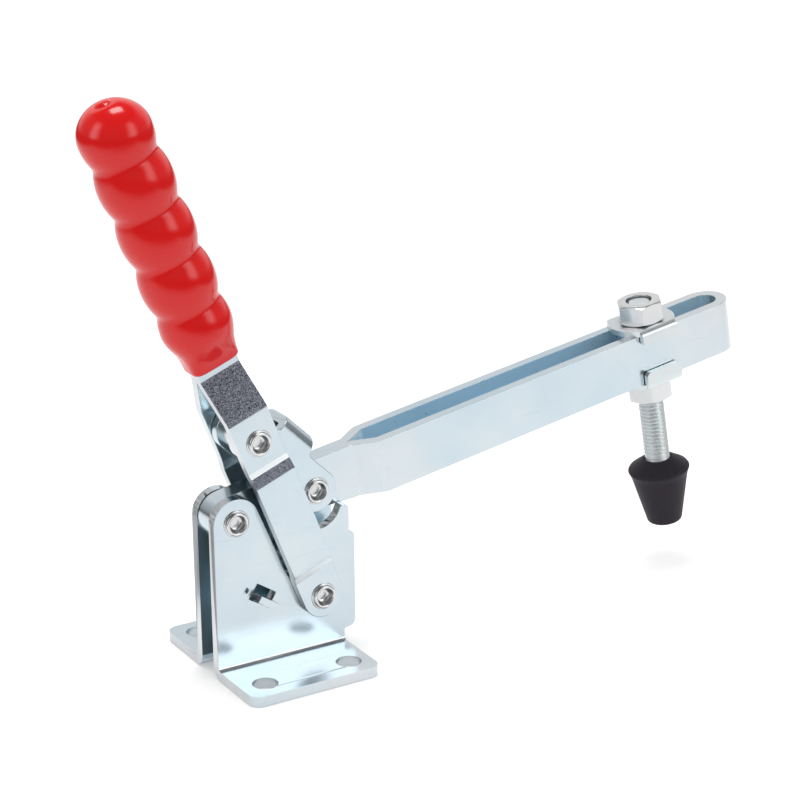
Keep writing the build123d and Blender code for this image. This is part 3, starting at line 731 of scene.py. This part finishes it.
scene.view_settings.view_transform = "Standard"
bpy.ops.mesh.primitive_plane_add(size=studio["floorSize"], location=(0, 0, 0))
floor = bpy.context.object
floor.name = "floor"
floorMaterial, nodes, links, shader = newMaterial("floorPaper")
shader.inputs["Base Color"].default_value = studio["floorColour"]
shader.inputs["Roughness"].default_value = studio["floorRoughness"]
shader.inputs["Specular IOR Level"].default_value = studio["floorShine"]
shader.inputs["Emission Color"].default_value = (1, 1, 1, 1)


def mathNode(nodes, operation, *values):
    node = nodes.new("ShaderNodeMath")
    node.operation = operation
    for socket, value in zip(node.inputs, values):
        socket.default_value = value
    return node


def seenRays(nodes, links):
    # 1 where the camera, a reflection or glass looks at the backdrop, 0 where it lights the clamp
    path = nodes.new("ShaderNodeLightPath")
    first = mathNode(nodes, "MAXIMUM")
    second = mathNode(nodes, "MAXIMUM")
    links.new(path.outputs["Is Camera Ray"], first.inputs[0])
    links.new(path.outputs["Is Glossy Ray"], first.inputs[1])
    links.new(first.outputs[0], second.inputs[0])
    links.new(path.outputs["Is Transmission Ray"], second.inputs[1])
    return path, second


path, seen = seenRays(nodes, links)
lift = mathNode(nodes, "MULTIPLY", 0, studio["floorLift"])
links.new(seen.outputs[0], lift.inputs[0])
links.new(lift.outputs[0], shader.inputs["Emission Strength"])


def dotWith(nodes, links, vector, direction):
    node = nodes.new("ShaderNodeVectorMath")
    node.operation = "DOT_PRODUCT"
    node.inputs[1].default_value = direction
    links.new(vector, node.inputs[0])
    return node.outputs["Value"]


def smoothBetween(nodes, links, value, limits):
    node = nodes.new("ShaderNodeMapRange")
    node.interpolation_type = "SMOOTHSTEP"
    node.inputs["From Min"].default_value = limits[0]
    node.inputs["From Max"].default_value = limits[1]
    links.new(value, node.inputs["Value"])
    return node.outputs["Result"]


def levelAround(nodes, links, toward, across):
    # a dark card between two tall softboxes, dim sides and a bright wall behind it all
    bearing = mathNode(nodes, "ARCTAN2")
    links.new(across, bearing.inputs[0])
    links.new(toward, bearing.inputs[1])
    aside = mathNode(nodes, "ABSOLUTE")
    links.new(bearing.outputs[0], aside.inputs[0])
    share = mathNode(nodes, "DIVIDE", 0, math.pi)
    links.new(aside.outputs[0], share.inputs[0])
    ring = nodes.new("ShaderNodeValToRGB")
    stops = ring.color_ramp.elements
    stops[0].position, stops[1].position = 0.0, 1.0
    stops[0].color = (studio["around"][0][1],) * 3 + (1,)
    stops[1].color = (studio["around"][-1][1],) * 3 + (1,)
    for degrees, level in studio["around"][1:]:
        stop = stops.new(degrees / 180)
        stop.color = (level, level, level, 1)
    links.new(share.outputs[0], ring.inputs["Fac"])
    return ring.outputs["Color"]


# in reflections the paper ends near the clamp and the room begins
onFloor = nodes.new("ShaderNodeTexCoord").outputs["Object"]
toward = dotWith(nodes, links, onFloor, studio["cardToward"])
across = dotWith(nodes, links, onFloor, studio["cardAcross"])
shifted = mathNode(nodes, "SUBTRACT", 0, studio["paperShift"])
links.new(across, shifted.inputs[0])
sideways = mathNode(nodes, "ABSOLUTE")
links.new(shifted.outputs[0], sideways.inputs[0])
beyond = mathNode(nodes, "MAXIMUM")
links.new(smoothBetween(nodes, links, toward, studio["paperEnd"]), beyond.inputs[0])
links.new(smoothBetween(nodes, links, sideways.outputs[0], studio["paperSide"]), beyond.inputs[1])
hidden = mathNode(nodes, "MULTIPLY")
links.new(beyond.outputs[0], hidden.inputs[0])
links.new(path.outputs["Is Glossy Ray"], hidden.inputs[1])
room = nodes.new("ShaderNodeEmission")
room.inputs["Strength"].default_value = studio["roomLevel"]
blend = nodes.new("ShaderNodeMixShader")
links.new(hidden.outputs[0], blend.inputs["Fac"])
links.new(shader.outputs["BSDF"], blend.inputs[1])
links.new(room.outputs["Emission"], blend.inputs[2])
links.new(blend.outputs["Shader"], nodes["Material Output"].inputs["Surface"])
floor.data.materials.append(floorMaterial)

world = bpy.data.worlds.new("studio")
scene.world = world
world.use_nodes = True
nodes, links = world.node_tree.nodes, world.node_tree.links
nodes.clear()
output = nodes.new("ShaderNodeOutputWorld")
path, seen = seenRays(nodes, links)

sky = nodes.new("ShaderNodeTexCoord").outputs["Generated"]
ring = levelAround(nodes, links, dotWith(nodes, links, sky, studio["cardToward"]),
                   dotWith(nodes, links, sky, studio["cardAcross"]))
height = dotWith(nodes, links, sky, (0, 0, 1))
rising = nodes.new("ShaderNodeMix")
links.new(smoothBetween(nodes, links, height, studio["skirting"]), rising.inputs["Factor"])
rising.inputs["A"].default_value = studio["roomLevel"]
links.new(ring, rising.inputs["B"])
walls = nodes.new("ShaderNodeMix")
links.new(smoothBetween(nodes, links, height, studio["ceiling"]), walls.inputs["Factor"])
links.new(rising.outputs["Result"], walls.inputs["A"])
walls.inputs["B"].default_value = studio["ceilingLevel"]
shown = nodes.new("ShaderNodeMix")
shown.inputs["A"].default_value = 1.0
links.new(path.outputs["Is Glossy Ray"], shown.inputs["Factor"])
links.new(walls.outputs["Result"], shown.inputs["B"])

lit = nodes.new("ShaderNodeBackground")
lit.inputs["Strength"].default_value = studio["worldLevel"]
white = nodes.new("ShaderNodeBackground")
links.new(shown.outputs["Result"], white.inputs["Strength"])
for background in (lit, white):
    background.inputs["Color"].default_value = (1, 1, 1, 1)
mix = nodes.new("ShaderNodeMixShader")
links.new(seen.outputs[0], mix.inputs["Fac"])
links.new(lit.outputs[0], mix.inputs[1])
links.new(white.outputs[0], mix.inputs[2])
links.new(mix.outputs[0], output.inputs["Surface"])


def softbox(name, place, aim, size, power):
    light = bpy.data.lights.new(name, "AREA")
    light.shape = "RECTANGLE"
    light.size, light.size_y = size
    light.energy = power
    lamp = bpy.data.objects.new(name, light)
    lamp.location = place
    lamp.rotation_euler = (Vector(aim) - Vector(place)).to_track_quat("-Z", "Y").to_euler()
    scene.collection.objects.link(lamp)
    return lamp


softbox("topBox", **studio["topBox"])

cameraView = {
    "place": (-0.27938, -0.53344, 0.28073),
    "azimuth": 31.2213,
    "elevation": 18.6172,
    "roll": -0.4931,
    "focalPixels": 2267.13,
    "widthPixels": 800,
    "sensor": 36,
    "nearest": 10 * mm,
}
azimuth = math.radians(cameraView["azimuth"])
elevation = math.radians(cameraView["elevation"])
roll = math.radians(cameraView["roll"])
forward = Vector((math.sin(azimuth) * math.cos(elevation), math.cos(azimuth) * math.cos(elevation),
                  -math.sin(elevation)))
right = Vector((math.cos(azimuth), -math.sin(azimuth), 0))
up = right.cross(forward)
rolledRight = math.cos(roll) * right + math.sin(roll) * up
rolledUp = -math.sin(roll) * right + math.cos(roll) * up
cameraData = bpy.data.cameras.new("camera")
cameraData.sensor_width = cameraView["sensor"]
cameraData.lens = cameraView["sensor"] * cameraView["focalPixels"] / cameraView["widthPixels"]
cameraData.clip_start = cameraView["nearest"]
camera = bpy.data.objects.new("camera", cameraData)
placing = Matrix((rolledRight, rolledUp, -forward)).transposed().to_4x4()
placing.translation = Vector(cameraView["place"])
camera.matrix_world = placing
scene.collection.objects.link(camera)
scene.camera = camera
print("studio set")
